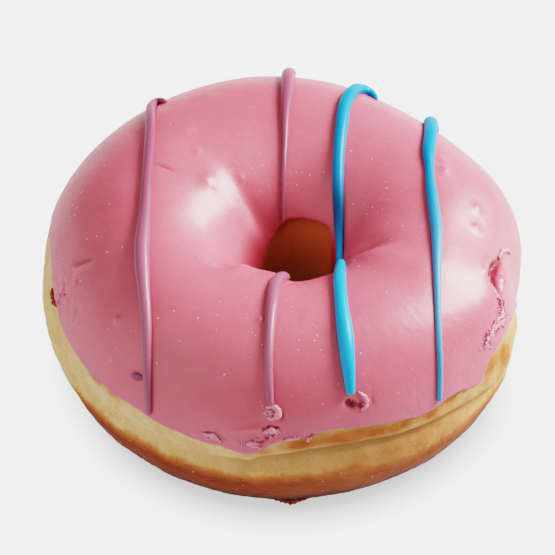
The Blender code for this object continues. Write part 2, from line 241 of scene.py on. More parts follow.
# Curls of icing shaved up from the coat: bearing, roll and width along each.
CURLS = (
    ((262.6, 37.0, 0.5), (264.0, 38.2, 0.8), (265.3, 37.2, 1.1), (265.9, 35.0, 1.3), (265.4, 32.6, 1.1),
     (264.2, 31.4, 0.8), (263.2, 32.0, 0.5)),
    ((262.2, 34.6, 0.4), (262.9, 35.8, 0.6), (263.8, 35.6, 0.5)),
    ((262.3, 23.4, 0.6), (263.8, 25.0, 1.2), (265.3, 24.4, 0.8)),
    ((265.5, 24.2, 0.5), (265.6, 22.8, 0.4)),
    ((258.0, 15.6, 0.5), (259.5, 17.2, 0.9), (260.9, 16.6, 0.6)),
    ((259.0, 14.6, 0.4), (260.2, 15.2, 0.6), (261.2, 14.6, 0.4)),
    ((246.8, 17.4, 0.4), (248.6, 17.6, 0.7), (249.6, 18.4, 0.8), (250.0, 17.0, 0.5), (251.2, 14.6, 0.4)),
    ((248.8, 16.0, 0.3), (249.8, 16.4, 0.5), (250.2, 14.8, 0.3)),
    ((267.6, 17.6, 0.4), (269.0, 19.4, 0.6), (270.6, 18.6, 0.5), (271.4, 19.6, 0.4)),
    ((268.0, 15.8, 0.4), (268.6, 17.4, 0.5), (268.2, 18.8, 0.4)),
    ((272.0, 16.2, 0.4), (273.2, 16.8, 0.6), (274.2, 15.4, 0.5), (274.4, 12.4, 0.6)),
    ((288.4, 41.0, 0.4), (289.2, 39.6, 0.7), (290.0, 37.4, 0.9), (290.4, 34.6, 1.0), (289.8, 32.2, 0.8),
     (288.6, 31.2, 0.5)),
    ((339.5, 30.5, 0.5), (340.6, 34.0, 0.8), (342.0, 38.0, 0.6)),
    ((355.5, 41.6, 0.5), (358.8, 40.6, 0.9), (1.4, 35.0, 0.9), (3.2, 29.6, 0.5)),
    ((339.8, 28.0, 0.5), (337.6, 30.6, 0.9), (335.2, 31.9, 0.8), (333.0, 31.6, 0.6)),
    ((332.6, 31.2, 0.6), (330.8, 30.4, 0.8), (329.8, 28.2, 0.6)),
    ((338.8, 32.6, 0.4), (336.8, 33.6, 0.6), (334.4, 33.4, 0.4)),
)
# Places where the icing has crumbled: bearing and roll of both ends, spread and number of crumbs.
CRUMBLED = (
    (340.0, 29.0, 335.5, 32.0, 0.7, 80),
    (335.5, 32.0, 329.8, 28.5, 0.7, 80),
    (342.5, 40.0, 339.5, 31.0, 0.5, 40),
    (246.5, 17.5, 251.5, 15.0, 0.45, 34),
    (257.0, 15.0, 261.5, 17.0, 0.5, 34),
    (267.5, 17.5, 275.0, 17.5, 0.5, 44),
    (262.2, 35.5, 264.2, 33.5, 0.5, 18),
    (262.5, 22.0, 265.5, 24.5, 0.5, 16),
    (289.6, 33.0, 290.4, 37.0, 0.3, 8),
    (187.0, 30.0, 190.0, 20.0, 0.8, 10),
)
CRUMB_SIZES = (0.14, 0.36)
# A crumb's length, bend, arch, and widths in its middle and lost at its ends, as shares of its size.
CRUMB_REACH = (0.6, 1.6)
CRUMB_BEND = 0.6
CRUMB_ARCH = 0.35
CRUMB_WIDTH = (1.1, 0.5)
CRUMB_HEIGHT_SHARES = (0.4, 0.8)
CRUMB_STEPS = 5
# Dark red pits where the coat is cut or thin, and painted shade in the hollow behind the hole's front lip and
# in the flap's step: bearing, roll, half spans, strength.
RED_PITS_AND_SHADE = (
    (285.2, 36.6, 0.9, 1.9, 1.0),
    (286.4, 34.4, 1.3, 1.5, 1.0),
    (288.5, 34.0, 0.9, 2.4, 0.9),
    (262.1, 25.0, 0.6, 1.0, 0.9),
    (263.7, 26.6, 1.0, 0.8, 1.0),
    (265.5, 26.2, 0.8, 0.9, 0.9),
    (263.0, 20.2, 0.7, 1.6, 1.0),
    (262.0, 17.6, 0.8, 1.0, 0.7),
    (264.6, 22.0, 0.5, 0.8, 0.6),
    (273.0, 19.8, 0.8, 1.2, 0.7),
    (274.6, 20.4, 1.2, 1.6, 1.0),
    (276.0, 20.6, 0.8, 1.0, 0.8),
    (263.6, 35.2, 0.7, 1.8, 0.7),
    (266.9, 33.0, 0.4, 3.0, 0.6),
    (292.0, 34.5, 0.4, 3.5, 0.5),
    (259.6, 15.4, 1.0, 0.9, 0.6),
    (248.0, 18.6, 1.2, 0.7, 0.5),
    (341.2, 34.5, 0.9, 3.0, 0.6),
    (337.0, 33.0, 3.0, 0.9, 0.6),
    (332.0, 32.4, 2.0, 1.0, 0.6),
    # Painted shade in the flap's step.
    (349.5, 46.5, 2.4, 2.2, 0.45),
    (345.6, 47.0, 1.8, 2.0, 0.45),
    # Painted shade in the hollow behind the hole's front lip.
    (211.0, 132.0, 8.0, 4.0, 0.6),
)
REDDENED_DEPTH = 0.3
# How uneven the red is: size of the lumps and their share.
REDDENED_UNEVEN = (0.9, 0.5)
# Painted shade on the wall at the back left of the hole: bearing, roll and half spans.
HOLE_WALL = (112, 148, 19, 17)
# Brown burnt bits: the nick on the left and the ragged crumb at the bottom of the front.
BURNT = (
    ((183.0, 17.5, 0.7), (184.3, 16.6, 1.5), (185.6, 16.0, 1.2)),
    ((185.0, 15.6, 0.8), (186.4, 16.2, 1.5), (187.6, 16.4, 0.9)),
    ((265.0, -37.0, 0.5), (266.6, -38.5, 1.1), (268.2, -39.5, 1.5)),
    ((267.6, -38.0, 1.0), (269.2, -41.0, 2.0), (270.4, -39.5, 1.4)),
    ((268.9, -45.0, 0.8), (269.4, -42.0, 1.6), (269.8, -38.0, 0.8)),
    ((270.4, -38.5, 1.2), (272.2, -37.5, 1.1), (274.4, -36.5, 0.5)),
)
BURNT_RAGGED = 0.6
BURNT_HEIGHT_SHARE = 0.7
MARK_LIFT_SHARE = 0.1
# The small mauve drop beside the left stripe.
MAUVE_DROP = (
    (224.2, 32.4, 0.7), (225.0, 32.9, 1.4), (225.9, 33.5, 1.5), (226.9, 34.1, 1.0), (227.6, 34.5, 0.8),
)
DROP_HEIGHT_SHARE = 0.5
CURL_SIDES = 12
CURL_STEP = 0.1
CURL_HEIGHT_SHARE = 0.6
CURL_LIFT_SHARE = 0.25
CURL_RAGGED = 0.5
CURL_SMOOTHING = 6
# A ragged curl: size of the lumps of its width and of its surface, and how high the second are.
CURL_WIDTH_LUMPS = 0.5
CURL_SURFACE_LUMPS = 0.45
CURL_SURFACE_RISE = 0.25

# Fine specks all over the coat, tiny bumps painted pale as painted highlights, and fewer on the crust below
# it.
SPECKS = 520
CRUST_SPECKS = 200
CRUST_SPECK_LOWEST = -38
COAT_SPECK_HIGHEST = 128
# How far the specks stay from the coat's edge, above and below it, in degrees of roll.
SPECK_ABOVE_EDGE = 4
SPECK_BELOW_EDGE = 6
SPECK_RADII = (0.05, 0.15)
SPECK_SIDES = 6
# The share of specks that stay, how much that changes with lumps, and their size.
SPECK_SHARE = 0.55
SPECK_CLUSTERING = 0.9
SPECK_CLUSTER_SIZE = 9
SPECK_LENGTH_SHARE = 0.4
SPECK_HEIGHT_SHARE = 0.7

# The piped stripes, seen from above: x and y from the middle of the hole, and width, from the back
# to the front.
LEFT_MAUVE = (
    (-24.2, 36.0, 1.0), (-25.0, 37.3, 1.6), (-26.1, 37.0, 1.9), (-26.6, 34.4, 1.9), (-26.6, 30.0, 1.9),
    (-26.5, 22.4, 2.0), (-26.8, 11.9, 2.0), (-27.0, 2.0, 2.3), (-27.3, -7.0, 2.9), (-26.7, -15.5, 2.4),
    (-26.1, -21.8, 2.0), (-26.0, -26.5, 1.8), (-25.9, -30.3, 1.6), (-25.8, -32.8, 1.3),
)
BACK_MAUVE = (
    (-0.3, 45.0, 2.0), (-0.7, 42.5, 2.7), (-1.0, 36.5, 2.4), (-1.3, 28.9, 1.9), (-1.5, 22.0, 1.3),
    (-1.7, 17.0, 1.1), (-1.8, 13.0, 0.9), (-1.9, 10.4, 0.6), (-1.8, 8.4, 0.35),
)
FRONT_MAUVE = (
    (-1.5, -9.5, 1.6), (-2.3, -11.6, 2.2), (-3.2, -14.7, 2.3), (-3.8, -20.5, 2.2), (-4.2, -26.0, 1.8),
    (-4.4, -31.4, 1.6), (-4.3, -35.0, 1.5), (-4.1, -36.8, 1.3),
)
HOLE_BLUE = (
    (15.8, 36.4, 0.8), (15.3, 38.0, 1.6), (14.2, 39.2, 2.2), (12.6, 38.8, 2.4), (11.4, 36.0, 2.5),
    (9.9, 31.0, 2.5), (9.2, 25.3, 2.4), (8.7, 19.3, 2.2), (8.5, 13.4, 2.1), (8.6, 9.3, 2.0),
    (8.8, 5.7, 1.8), (9.0, 2.8, 1.6), (9.0, -1.5, 1.6), (8.9, -5.5, 1.8), (8.6, -10.0, 2.1),
    (8.4, -14.9, 2.3), (8.6, -21.5, 2.4), (9.1, -26.5, 2.9), (9.5, -30.9, 2.6), (9.8, -33.2, 2.1),
    (10.0, -34.7, 1.7),
)
RIGHT_BLUE = (
    (26.5, 34.2, 2.4), (25.8, 31.5, 2.9), (25.7, 26.0, 2.6), (25.1, 18.0, 2.4), (25.2, 13.5, 1.7),
    (25.2, 10.7, 1.75), (25.6, 4.2, 2.1), (26.0, -2.1, 2.2), (25.9, -8.1, 1.8), (25.8, -13.7, 1.45),
    (25.8, -19.6, 1.2), (25.9, -24.4, 1.1), (26.1, -27.5, 1.1), (26.1, -30.3, 1.0),
)
STRIPE_SIDES = 20
STRIPE_STEP = 0.45
STRIPE_HEIGHT_SHARE = 0.9
STRIPE_LIFT_SHARE = 0.25
STRIPE_DIP = 1.2
STRIPE_SMOOTHING = (8, 60)
# Uneven width: size of the lumps and their share.
STRIPE_UNEVEN = (3.5, 0.04)
# The stripes are painted lighter at the front as painted light, where the lamps reach them less: the places
# along Y where that starts and is full.
STRIPE_FRONT = (10, -20)
# The blue stripe is in shade where it goes down into the hole: the middle along Y, and the reach.
STRIPE_SHADED = (3.1, 4.5)
# A strand's ends close with rings at these angles, and stand out by a share of its width.
DOME_ANGLES = (75, 50, 25)
DOME_REACH = 0.45
DRAPE_STEP = 0.2
ABOVE_ALL = 100

# Fineness of the dough and coat. The front, which shows more, gets closer steps of bearing.
FRONT_BEARINGS = (182, 366)
FRONT_STEPS = 430
BACK_STEPS = 130

# The photograph's viewpoint.
CAMERA_AIM = (-1.19, 1.87, 18.0)
CAMERA_ELEVATION = 48
CAMERA_DISTANCE = 700
CAMERA_LENS = 241.6
SENSOR = 36

# Soft lights: direction, size and watts.
LIGHT_DISTANCE = 0.9
KEY_DIRECTION = (0.72, 0.32, 0.62)
KEY_SIZE = (0.42, 0.42)
KEY_WATTS = 12.8
FILL_DIRECTION = (-0.85, -0.35, 0.5)
FILL_SIZE = (1.2, 1.2)
FILL_WATTS = 2.8
SKY_STRENGTH = 0.42
# Dim parts of the sky: direction, the cosines where the dimming starts and is full, and what is left.
DIM_SKY = (
    ((-0.6, 0.8, 0.35), 0.35, 0.95, 0.3),
    ((0.35, -0.9, 0.15), 0.4, 0.95, 0.45),
)
FLOOR_SIZE = 8.0
# Glow of the white floor, as the doughnut and as the camera get it. Seen by the camera it dims close to the
# doughnut, within a reach in millimetres, as a painted contact shadow.
FLOOR_GLOW = 0.32
FLOOR_GLOW_SEEN = 1.7
FLOOR_GLOW_CONTACT = 0.55
CONTACT_REACH = 7
CONTACT_CLOSED = 0.3


def read_round(values, bearing):
    """A smooth closed curve through values at even steps of bearing."""
    values = np.asarray(values, float)
    place = (np.asarray(bearing, float) % 360) / 360 * len(values)
    first = np.floor(place).astype(int)
    part = place - first
    a, b, c, d = (values[(first + k) % len(values)] for k in (-1, 0, 1, 2))
    return b + 0.5 * part * (c - a + part * (2 * a - 5 * b + 4 * c - d + part * (3 * (b - c) + d - a)))


def angle_between(a, b):
    """The signed difference of two angles, from -180 to 180 degrees."""
    return (a - b + 180) % 360 - 180


def ease(share):
    """A smooth step from 0 to 1."""
    share = np.clip(share, 0, 1)
    return share * share * (3 - 2 * share)


def lumps(points, size, seed=0, depth=1):
    """Smooth noise, about -1 to 1, at points in millimetres, with lumps about so big."""
    flat = np.asarray(points, float).reshape(-1, 3) / size + seed * 7.31
    total = np.zeros(len(flat))
    for octave in range(depth):
        total += np.array([noise.noise(p) for p in flat * 2 ** octave]) / 2 ** octave
    return total.reshape(np.shape(points)[:-1])


def spot(bearing, roll, middle, middle_roll, span, roll_span):
    """A round-topped patch, 1 in its middle."""
    off = (angle_between(bearing, middle) / span) ** 2 + (angle_between(roll, middle_roll) / roll_span) ** 2
    return np.exp(-off)


def plain_ring(bearing, roll):
    """Points of the ring before its lumps: two squared half ovals round the waist."""
    outer, hole = read_round(OUTER_RADII, bearing), read_round(HOLE_RADII, bearing)
    crown = read_round(CROWN_HEIGHTS, bearing)
    across, up = np.cos(np.radians(roll)), np.sin(np.radians(roll))
    power = 2 / np.where(up >= 0, CROWN_SQUARENESS, BASE_SQUARENESS)
    across = np.sign(across) * np.abs(across) ** power
    up = np.sign(up) * np.abs(up) ** power
    radius = (outer + hole) / 2 + (outer - hole) / 2 * across
    height = WAIST_HEIGHT + up * np.where(up >= 0, crown - WAIST_HEIGHT, WAIST_HEIGHT + FLATTENED)
    x = HOLE_CENTRE[0] + radius * np.cos(np.radians(bearing))
    y = HOLE_CENTRE[1] + radius * np.sin(np.radians(bearing))
    return np.stack([x, y, height], axis=-1)


def outward(bearing, roll, step=0.5):
    """Unit normals of the plain ring."""
    along = plain_ring(bearing + step, roll) - plain_ring(bearing - step, roll)
    round_section = plain_ring(bearing, roll + step) - plain_ring(bearing, roll - step)
    normal = np.cross(along, round_section)
    return normal / np.linalg.norm(normal, axis=-1, keepdims=True)


def patched(places, bearing, roll):
    """The sum of several round-topped patches, each with a strength or a height of its own."""
    total = np.zeros(np.broadcast(bearing, roll).shape)
    for *place, most in places:
        total += most * spot(bearing, roll, *place)
    return total


def coat_edge(bearing):
    """Roll of the coat's outer edge."""
    roll = read_round(COAT_OUTER_ROLLS, bearing)
    for middle, span, drop in COAT_RUNS:
        roll = roll - drop * np.exp(-((angle_between(bearing, middle) / span) ** 2))
    return roll


def lobe(bearing, roll):
    """How far the bare dough stands out below the coat's edge."""
    below_edge = ease(1 - angle_between(roll, coat_edge(bearing)) / LOBE_START)
    start, end = LOBE_FADE
    return LOBE_RISE * below_edge * ease((angle_between(roll, 0) - end) / (start - end))


def dough_surface(bearing, roll, out=0.0):
    """Points of the risen dough, without its seam, moved out by so many millimetres."""
    bearing, roll, out = np.broadcast_arrays(*(np.asarray(v, float) for v in (bearing, roll, out)))
    move = patched(SWELLS, bearing, roll) + lobe(bearing, roll) + out
    return plain_ring(bearing, roll) + outward(bearing, roll) * move[..., None]


def bearings():
    """Steps of bearing round the ring, closer at the front."""
    start, end = FRONT_BEARINGS
    front = np.linspace(start, end, FRONT_STEPS, endpoint=False)
    back = np.linspace(end, start + 360, BACK_STEPS, endpoint=False)
    return np.concatenate([front, back]) % 360


def seam_groove(bearing, roll):
    """Depth of the seam at a point of the side: steep above its line, easy below it."""
    line = np.minimum(read_round(SEAM_ROLLS, bearing), coat_edge(bearing) - SEAM_CLEARANCE)
    off = angle_between(roll, line) * ROLL_LENGTH
    width = np.where(off > 0, SEAM_ABOVE, SEAM_BELOW)
    return read_round(SEAM_DEPTHS, bearing) * np.exp(-((off / width) ** 2))


def quads(rings, ring_size, closed_rings):
    """Faces between rings of points, laid one ring after another."""
    faces = []
    for i in range(rings if closed_rings else rings - 1):
        for j in range(ring_size):
            k, m = (i + 1) % rings, (j + 1) % ring_size
            faces.append((i * ring_size + j, k * ring_size + j, k * ring_size + m, i * ring_size + m))
    return faces


def add_piece(name, points, faces, material, marks=None):
    """A smooth mesh piece from points in millimetres, riding on the doughnut, with named values per point."""
    mesh = bpy.data.meshes.new(name)
    mesh.from_pydata(np.asarray(points, float).reshape(-1, 3) * MM, [], faces)
    mesh.update()
    mesh.shade_smooth()
    mesh.materials.append(material)
    for mark, values in (marks or {}).items():
        layer = mesh.attributes.new(mark, "FLOAT", "POINT")
        layer.data.foreach_set("value", np.asarray(values, np.float32).ravel())
    made = bpy.data.objects.new(name, mesh)
    bpy.context.scene.collection.objects.link(made)
    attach(made, "root")
    return made


def make_dough(material):
    """The fried ring, with its seam, crust, flat underside and hole."""
    bearing = bearings()[:, None]
    low = coat_edge(bearing) + UNDER_OUTER_EDGE
    high = read_round(COAT_HOLE_ROLLS, bearing) - UNDER_HOLE_EDGE
    turns = (DOUGH_SIDE_START, low, high, *DOUGH_BASE)
    parts = []
    for start, end, steps in zip(turns, turns[1:], DOUGH_STEPS):
        part = start + (end - start) * np.linspace(0, 1, steps, endpoint=False)
        parts.append(np.broadcast_to(part, (len(bearing), steps)))
    roll = np.concatenate(parts, axis=1)
    bearing = np.broadcast_to(bearing, roll.shape)
    plain = dough_surface(bearing, roll)
    groove = seam_groove(bearing, roll)
    broad_size, broad_rise = DOUGH_BROAD
    fine_size, fine_rise = DOUGH_FINE
    broad, fine = lumps(plain, broad_size, 1, 2), lumps(plain, fine_size, 2, 2)
    broad_wander, fine_wander = CRUST_WANDER
    line = read_round(CRUST_ROLLS, bearing) + broad_wander * broad + fine_wander * fine
    side_roll = angle_between(roll, 0)
    crust = ease((line - side_roll) / CRUST_WIDTH + CRUST_LEAD)
    in_hole = ease((np.abs(side_roll) - HOLE_START) / HOLE_FADE)
    crust = np.maximum(crust, in_hole)
    toast_and_shade = np.clip(patched(TOASTED_AND_SHADED, bearing, roll) * (1 + TOAST_UNEVEN * broad), 0, 1)
    relief = fine_rise * fine + broad_rise * broad
    points = plain + outward(bearing, roll) * (relief - groove)[..., None]
    points[..., 2] = np.maximum(points[..., 2], 0)
    # Painted shade low in the hole, reaching higher on one side, and round the bottom edge.
    lean = HOLE_SHADE_LEAN * np.cos(np.radians(bearing - HOLE_SHADE_BEARING))
    hole_shade = in_hole * ease((HOLE_SHADE_TOP + lean - points[..., 2]) / HOLE_SHADE_TOP)
    base_shade_share = ease((BASE_SHADE_ROLL - side_roll) / BASE_SHADE_WIDTH) * (1 - in_hole)
    marks = {
        "crust": crust,
        "toast_and_shade": toast_and_shade,
        "band_shade": patched(SHADED_BAND, bearing, roll),
        "groove": groove,
        "in_hole": in_hole,
        "hole_shade": hole_shade,
        "base_shade": base_shade_share,
    }
    return add_piece("dough_ring", points, quads(*roll.shape, True), material, marks)


def coat_relief(points, bearing, roll):
    """Bumps, creases and wrinkles of the coat."""
    height = np.zeros(roll.shape)
    for middle, middle_roll, radius, rise in BUMPS:
        centre = dough_surface(middle, middle_roll, COAT_THICKNESS)
        height += rise * np.exp(-((np.linalg.norm(points - centre, axis=-1) / radius) ** 2))
    for start, start_roll, end, end_roll, width, rise in CREASES:
        a = dough_surface(start, start_roll, COAT_THICKNESS)
        b = dough_surface(end, end_roll, COAT_THICKNESS)
        share = np.clip((points - a) @ (b - a) / ((b - a) @ (b - a)), 0, 1)
        away = np.linalg.norm(points - (a + share[..., None] * (b - a)), axis=-1)
        taper = np.sqrt(4 * share * (1 - share) * CREASE_TAPER + 1 - CREASE_TAPER)
        height += rise * np.exp(-((away / width) ** 2)) * taper
    ripple = lumps(points * WRINKLE_STRETCH, WRINKLE_SIZE, 5, 2)
    return height + ripple * patched(WRINKLED, bearing, roll)


def red_pits_and_shade_strength(points, bearing, roll):
    """Strength of the dark red pits and of the painted shade among them, with uneven edges."""
    strength = np.zeros(roll.shape)
    for *place, most in RED_PITS_AND_SHADE:
        strength = np.maximum(strength, most * spot(bearing, roll, *place))
    lump_size, lump_share = REDDENED_UNEVEN
    return np.clip(strength * (1 + lump_share * lumps(points, lump_size, 13)), 0, 1)


def make_coat(material):
    """The icing over the ring's top half: its upper face, then back along its underside."""
    bearing = bearings()[:, None]
    around = plain_ring(bearing, np.zeros(bearing.shape))
    ragged_size, ragged_move = COAT_EDGE_RAGGED
    wander_size, wander_move = COAT_EDGE_WANDER
    hole_size, hole_move = COAT_HOLE_WANDER
    ragged = ragged_move * lumps(around, ragged_size, 3, 2) + wander_move * lumps(around, wander_size, 4)
    low = coat_edge(bearing) + ragged
    high = read_round(COAT_HOLE_ROLLS, bearing) + hole_move * lumps(around, hole_size, 6)
    # The steps crowd towards both edges, where the coat rounds off.
    even = np.linspace(0, 1, COAT_TOP_STEPS)
    top = (1 - COAT_CROWDING) * even + COAT_CROWDING * (0.5 - 0.5 * np.cos(np.pi * even))
    under = np.linspace(1, 0, COAT_UNDER_STEPS)
    share = np.concatenate([top, under])
    is_top = np.arange(len(share)) < len(top)
    roll = low + (high - low) * share
    bearing = np.broadcast_to(bearing, roll.shape)
    from_edge = np.minimum(roll - low, high - roll) * ROLL_LENGTH
    rounded = np.sqrt(1 - (1 - np.clip(from_edge / COAT_ROUNDING, 0, 1)) ** 2)
    thick = np.maximum(COAT_THICKNESS - lobe(bearing, roll), COAT_THINNEST) * rounded
    plain = dough_surface(bearing, roll, COAT_THICKNESS - lobe(bearing, roll))
    red = red_pits_and_shade_strength(plain, bearing, roll)
    wave_size, wave_rise = COAT_WAVES
    relief = coat_relief(plain, bearing, roll) + wave_rise * lumps(plain, wave_size, 7) - REDDENED_DEPTH * red
    out = np.where(is_top, thick + relief * rounded, -COAT_SUNK)
    points = dough_surface(bearing, roll, out)
    rim = np.exp(-np.maximum(roll - low, 0) * ROLL_LENGTH / RIM_REACH)
    # Painted shade in the hole.
    inside = np.maximum(ease((roll - INSIDE_START) / INSIDE_FADE), spot(bearing, roll, *HOLE_WALL))
    marks = {"rim": rim, "relief": relief * is_top, "inside": inside, "red": red}
    return add_piece("icing_coat", points, quads(*roll.shape, True), material, marks)


def smooth_route(stations):
    """The stations joined by a smooth curve, with a point about every DRAPE_STEP."""
    stations = np.asarray(stations, float)
    ends = np.vstack([2 * stations[0] - stations[1], stations, 2 * stations[-1] - stations[-2]])
    route = []
    for a, b, c, d in zip(ends, ends[1:], ends[2:], ends[3:]):
        count = max(2, round(np.linalg.norm((c - b)[:2]) / DRAPE_STEP))
        for part in np.arange(count) / count:
            bend = 2 * a - 5 * b + 4 * c - d + part * (3 * (b - c) + d - a)
            route.append(b + 0.5 * part * (c - a + part * bend))
    route.append(stations[-1])
    return np.array(route)


def span_hollows(along, height):
    """Lifts a strand out of hollows steeper than it would dip, leaving its two ends where they are."""
    behind = np.maximum.accumulate(height + STRIPE_DIP * along) - STRIPE_DIP * along
    ahead = np.maximum.accumulate((height - STRIPE_DIP * along)[::-1])[::-1] + STRIPE_DIP * along
    return np.maximum(height, np.minimum(behind, ahead))


def drape(stations, tree):
    """Lays a route on the coat: the middle line, the surface's normals and the widths."""
    hits, normals, widths = [], [], []
    for x, y, width in smooth_route(stations):
        above = Vector((HOLE_CENTRE[0] + x, HOLE_CENTRE[1] + y, ABOVE_ALL))
        hit, normal, _, _ = tree.ray_cast(above, Vector((0, 0, -1)))
        if hit is not None:
            hits.append(hit)
            normals.append(normal)
            widths.append(width)
    hits, normals, widths = np.array(hits), np.array(normals), np.array(widths)
    along = np.concatenate([[0], np.cumsum(np.linalg.norm(np.diff(hits[:, :2], axis=0), axis=1))])
    hits[:, 2] = span_hollows(along, hits[:, 2])
    length = np.concatenate([[0], np.cumsum(np.linalg.norm(np.diff(hits, axis=0), axis=1))])
    even = np.linspace(0, length[-1], round(length[-1] / STRIPE_STEP) + 1)
    middle = np.stack([np.interp(even, length, hits[:, k]) for k in range(3)], axis=1)
    normal = np.stack([np.interp(even, length, normals[:, k]) for k in range(3)], axis=1)
    width = np.interp(even, length, widths)
    line_times, normal_times = STRIPE_SMOOTHING
    middle, normal = smoothed(middle, line_times), smoothed(normal, normal_times)
    normal /= np.linalg.norm(normal, axis=1, keepdims=True)
    return middle + normal * (STRIPE_LIFT_SHARE * width)[:, None], normal, width


def smoothed(values, times):
    """Rows averaged with their neighbours, the two ends kept."""
    for _ in range(times):
        values = np.vstack([values[:1], (values[:-2] + 2 * values[1:-1] + values[2:]) / 4, values[-1:]])
    return values


def tube(middle, normal, width, height_share, sides):
    """Points and faces of a closed oval tube along a line, with rounded ends."""
    ahead = np.gradient(middle, axis=0)
    ahead /= np.linalg.norm(ahead, axis=1, keepdims=True)
    side = np.cross(ahead, normal)
    side /= np.linalg.norm(side, axis=1, keepdims=True)
    rise = np.cross(side, ahead)
    # Each end closes with rings that shrink like a dome.
    dome = np.radians(DOME_ANGLES)
    start = [middle[0] - ahead[0] * width[0] * DOME_REACH * math.sin(a) for a in dome]
    end = [middle[-1] + ahead[-1] * width[-1] * DOME_REACH * math.sin(a) for a in dome[::-1]]
    middle = np.vstack([start, middle, end])
    width = np.concatenate([width[0] * np.cos(dome), width, width[-1] * np.cos(dome[::-1])])
    side = np.vstack([[side[0]] * len(dome), side, [side[-1]] * len(dome)])
    rise = np.vstack([[rise[0]] * len(dome), rise, [rise[-1]] * len(dome)])
    turn = np.radians(np.arange(sides) * 360 / sides)
    oval = np.cos(turn)[None, :, None] * side[:, None]
    oval = oval + height_share * np.sin(turn)[None, :, None] * rise[:, None]
    points = (middle[:, None] + oval * width[:, None, None] / 2).reshape(-1, 3)
    faces = quads(len(middle), sides, False)
    faces.append(tuple(range(sides)))
    faces.append(tuple(range(len(points) - 1, len(points) - 1 - sides, -1)))
    return points, faces


def surface_tree(made):
    """A piece's faces, in millimetres, ready to be looked up."""
    points = [v.co / MM for v in made.data.vertices]
    return BVHTree.FromPolygons(points, [tuple(face.vertices) for face in made.data.polygons])


def joined(parts):
    """Several (points, faces) as one."""
    points, faces, count = [], [], 0
    for part_points, part_faces in parts:
        points.append(part_points)
        faces += [tuple(i + count for i in face) for face in part_faces]
        count += len(part_points)
    return np.vstack(points), faces


def face_outwards(made):
    shape = bmesh.new()
    shape.from_mesh(made.data)
    bmesh.ops.recalc_face_normals(shape, faces=shape.faces)
    shape.to_mesh(made.data)
    shape.free()


def make_stripes(name, routes, tree, material):
    """Piped strands of one colour as one piece."""
    lump_size, lump_share = STRIPE_UNEVEN
    parts = []
    for stations in routes:
        middle, normal, width = drape(stations, tree)
        width = width * (1 + lump_share * lumps(middle, lump_size, 8))
        parts.append(tube(middle, normal, width, STRIPE_HEIGHT_SHARE, STRIPE_SIDES))
    points, faces = joined(parts)
    depth = points[:, 1]
    back, front = STRIPE_FRONT
    middle, reach = STRIPE_SHADED
    # Painted light towards the front, and painted shade down in the hole.
    marks = {
        "front": ease((depth - back) / (front - back)),
        "shaded": np.exp(-(((depth - middle) / reach) ** 2)),
    }
    made = add_piece(name, points, faces, material, marks)
    face_outwards(made)
    return made


def on_coat(bearing, roll, tree):
    """The nearest point of the coat to a bearing and roll, and its normal."""
    hit, normal, _, _ = tree.find_nearest(Vector(dough_surface(bearing, roll, COAT_THICKNESS)))
    return np.array(hit), np.array(normal)


def curl(stations, tree, height_share, lift, ragged):
    """A short strand through bearings and rolls on the coat, raised by a share of its width."""
    places = [on_coat(bearing, roll, tree) for bearing, roll, _ in stations]
    points, normals = np.array([p[0] for p in places]), np.array([p[1] for p in places])
    widths = np.array([width for _, _, width in stations], float)
    length = np.concatenate([[0], np.cumsum(np.linalg.norm(np.diff(points, axis=0), axis=1))])
    even = np.linspace(0, length[-1], max(4, round(length[-1] / CURL_STEP)))
    middle = np.stack([np.interp(even, length, points[:, k]) for k in range(3)], axis=1)
    normal = np.stack([np.interp(even, length, normals[:, k]) for k in range(3)], axis=1)
    width = np.interp(even, length, widths)
    middle, normal = smoothed(middle, CURL_SMOOTHING), smoothed(normal, CURL_SMOOTHING)
    normal /= np.linalg.norm(normal, axis=1, keepdims=True)
    width = width * (1 + ragged * lumps(middle, CURL_WIDTH_LUMPS, 9))
    points, faces = tube(middle + normal * (lift * width)[:, None], normal, width, height_share, CURL_SIDES)
    rough = ragged * CURL_SURFACE_RISE * lumps(points, CURL_SURFACE_LUMPS, 10)
    return points + rough[:, None] * normal.mean(axis=0), faces


def crumb(centre, normal, size, chance):
    """A short bent bit of icing lying in a chance direction."""
    along = np.cross(normal, chance.normal(size=3))
    along /= np.linalg.norm(along)
    across = np.cross(normal, along)
    reach = size * chance.uniform(*CRUMB_REACH)
    bend = size * chance.uniform(-CRUMB_BEND, CRUMB_BEND)
    steps = np.linspace(-1, 1, CRUMB_STEPS)[:, None]
    arch = normal * size * CRUMB_ARCH * (1 - steps ** 2)
    middle = centre + along * reach * steps + across * bend * steps ** 2 + arch
    full, lost = CRUMB_WIDTH
    width = size * (full - lost * steps[:, 0] ** 2)
    normals = np.repeat(normal[None], CRUMB_STEPS, axis=0)
    return tube(middle, normals, width, chance.uniform(*CRUMB_HEIGHT_SHARES), SPECK_SIDES)


def make_flakes(tree, material):
    """The curls and crumbs of icing along the coat's rough places."""
    chance = np.random.default_rng(SEED)
    parts = [curl(stations, tree, CURL_HEIGHT_SHARE, CURL_LIFT_SHARE, CURL_RAGGED) for stations in CURLS]
    for start, start_roll, end, end_roll, spread_out, count in CRUMBLED:
        for share in chance.random(count):
            bearing = start + share * angle_between(end, start)
            centre, normal = on_coat(bearing, start_roll + share * (end_roll - start_roll), tree)
            centre = centre + np.cross(normal, chance.normal(size=3)) * spread_out
            centre, normal, _, _ = tree.find_nearest(Vector(centre))
            size = chance.uniform(*CRUMB_SIZES)
            parts.append(crumb(np.array(centre), np.array(normal), size, chance))
    made = add_piece("icing_flakes", *joined(parts), material)
    face_outwards(made)
    return made


def make_marks(name, lines, tree, material, height_share, ragged=0.0):
    """Low marks lying on the coat or the dough."""
    parts = [curl(stations, tree, height_share, MARK_LIFT_SHARE, ragged) for stations in lines]
    made = add_piece(name, *joined(parts), material)
    face_outwards(made)
    return made


